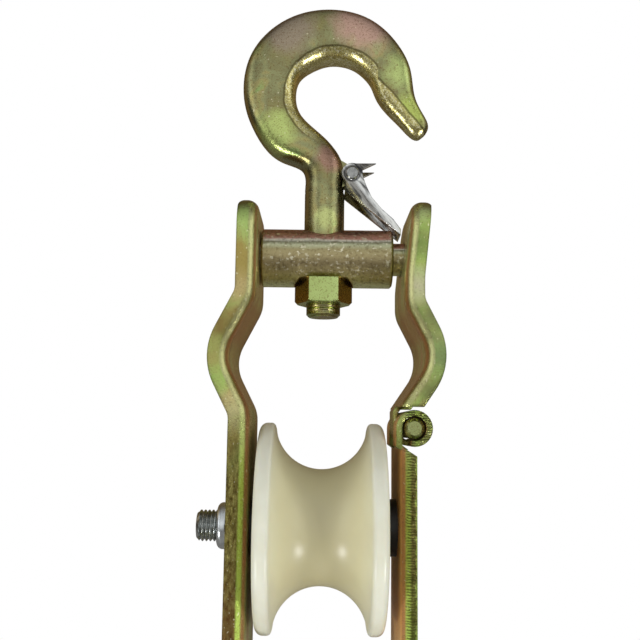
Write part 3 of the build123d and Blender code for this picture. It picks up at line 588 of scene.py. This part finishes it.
FLOOR_DROP = 0.7                  # the block hangs this far above the floor
floor_z = box_of_cad[0][2] - FLOOR_DROP
bpy.ops.object.select_all(action="DESELECT")
bpy.ops.mesh.primitive_plane_add(size=8.0, location=(0, 0, floor_z))
floor = bpy.context.object
floor.name = "floor"
floor_finish = Finish("white_floor")
floor_finish.put(floor_finish.surface.inputs["Base Color"], (0.55, 0.55, 0.55))
floor_finish.put(floor_finish.surface.inputs["Roughness"], 0.9)
glow = floor_finish.tree.nodes.new("ShaderNodeEmission")
glow.inputs["Color"].default_value = (1, 1, 1, 1)
choice = floor_finish.tree.nodes.new("ShaderNodeMixShader")
seen = floor_finish.tree.nodes.new("ShaderNodeLightPath").outputs["Is Camera Ray"]
floor_finish.put(choice.inputs[0], seen)
floor_finish.put(choice.inputs[1], floor_finish.surface.outputs["BSDF"])
floor_finish.put(choice.inputs[2], glow.outputs["Emission"])
floor_finish.put(floor_finish.tree.nodes["Material Output"].inputs["Surface"], choice.outputs["Shader"])
floor.data.materials.append(floor_finish.material)

scene = bpy.context.scene
scene.view_settings.view_transform = "Standard"
world = bpy.data.worlds.new("studio")
world.use_nodes = True
scene.world = world
wall = world.node_tree
background = wall.nodes["Background"]


def wall_ramp(value, *stops):
    """Greys along a value, for the world's own nodes."""
    node = wall.nodes.new("ShaderNodeValToRGB")
    wall.links.new(value, node.inputs["Fac"])
    elements = node.color_ramp.elements
    while len(elements) < len(stops):
        elements.new(1.0)
    for element, (position, grey) in zip(elements, stops):
        element.position = position
        element.color = (grey, grey, grey, 1)
    return node.outputs["Color"]


def wall_math(operation, *values):
    """One sum between values or sockets, for the world's own nodes."""
    node = wall.nodes.new("ShaderNodeMath")
    node.operation = operation
    for socket, value in zip(node.inputs, values):
        if isinstance(value, bpy.types.NodeSocket):
            wall.links.new(value, socket)
        else:
            socket.default_value = value
    return node.outputs["Value"]


direction = wall.nodes.new("ShaderNodeTexCoord").outputs["Generated"]
split = wall.nodes.new("ShaderNodeSeparateXYZ")
wall.links.new(direction, split.inputs["Vector"])
rise = wall_math("MULTIPLY_ADD", split.outputs["Z"], 0.5, 0.5)
by_height = wall_ramp(rise, (0.0, 0.30), (0.30, 0.42), (0.44, 0.56), (0.52, 0.64), (0.62, 0.78),
                      (0.75, 0.62), (1.0, 0.40))
aside = wall_math("ABSOLUTE", split.outputs["X"])
by_side = wall_ramp(aside, (0.0, 0.62), (0.40, 0.56), (0.62, 0.30), (0.74, 1.0), (0.90, 1.0),
                    (0.95, 0.25), (1.0, 0.08))
forward = wall_math("MULTIPLY_ADD", split.outputs["Y"], -0.5, 0.5)
by_front = wall_ramp(forward, (0.0, 0.20), (0.35, 0.26), (0.52, 0.50), (0.70, 0.9), (1.0, 1.0))
room = wall_math("MULTIPLY", wall_math("MULTIPLY", by_height, by_side), by_front)
lit_room = wall_math("MULTIPLY", room, 2.15)
camera_ray = wall.nodes.new("ShaderNodeLightPath").outputs["Is Camera Ray"]
other_rays = wall_math("SUBTRACT", 1.0, camera_ray)
strength = wall_math("ADD", wall_math("MULTIPLY", lit_room, other_rays), camera_ray)
wall.links.new(strength, background.inputs["Strength"])
tint = wall.nodes.new("ShaderNodeMix")
tint.data_type = "RGBA"
warm, white = [socket for socket in tint.inputs if socket.type == "RGBA"]
warm.default_value = (1.0, 0.72, 0.36, 1)
white.default_value = (1.0, 1.0, 1.0, 1)
in_front = wall_ramp(forward, (0.25, 0.0), (0.60, 1.0))
wall.links.new(wall_math("MAXIMUM", in_front, camera_ray), tint.inputs["Factor"])
wall.links.new(next(s for s in tint.outputs if s.type == "RGBA"), background.inputs["Color"])

for name, side in (("left_lamp", -1), ("right_lamp", 1)):
    lamp_data = bpy.data.lights.new(name, "AREA")
    lamp_data.size = 0.16
    lamp_data.energy = 2.0
    lamp = bpy.data.objects.new(name, lamp_data)
    scene.collection.objects.link(lamp)
    place = Vector((0.55 * side, -0.40, -0.62))
    from_sheave = place - Vector((0, 0, -0.19))
    lamp.matrix_world = Matrix.Translation(place) @ from_sheave.to_track_quat("Z", "Y").to_matrix().to_4x4()

camera = bpy.data.objects.new("camera", bpy.data.cameras.new("camera"))
scene.collection.objects.link(camera)
camera.data.sensor_width = 36.0
camera.data.lens = 46.86
tilt = Matrix.Rotation(math.radians(97.5), 4, "X") @ Matrix.Rotation(math.radians(0.75), 4, "Z")
camera.matrix_world = Matrix.Translation((-0.00124, -0.33224, -0.15202)) @ tilt
scene.camera = camera
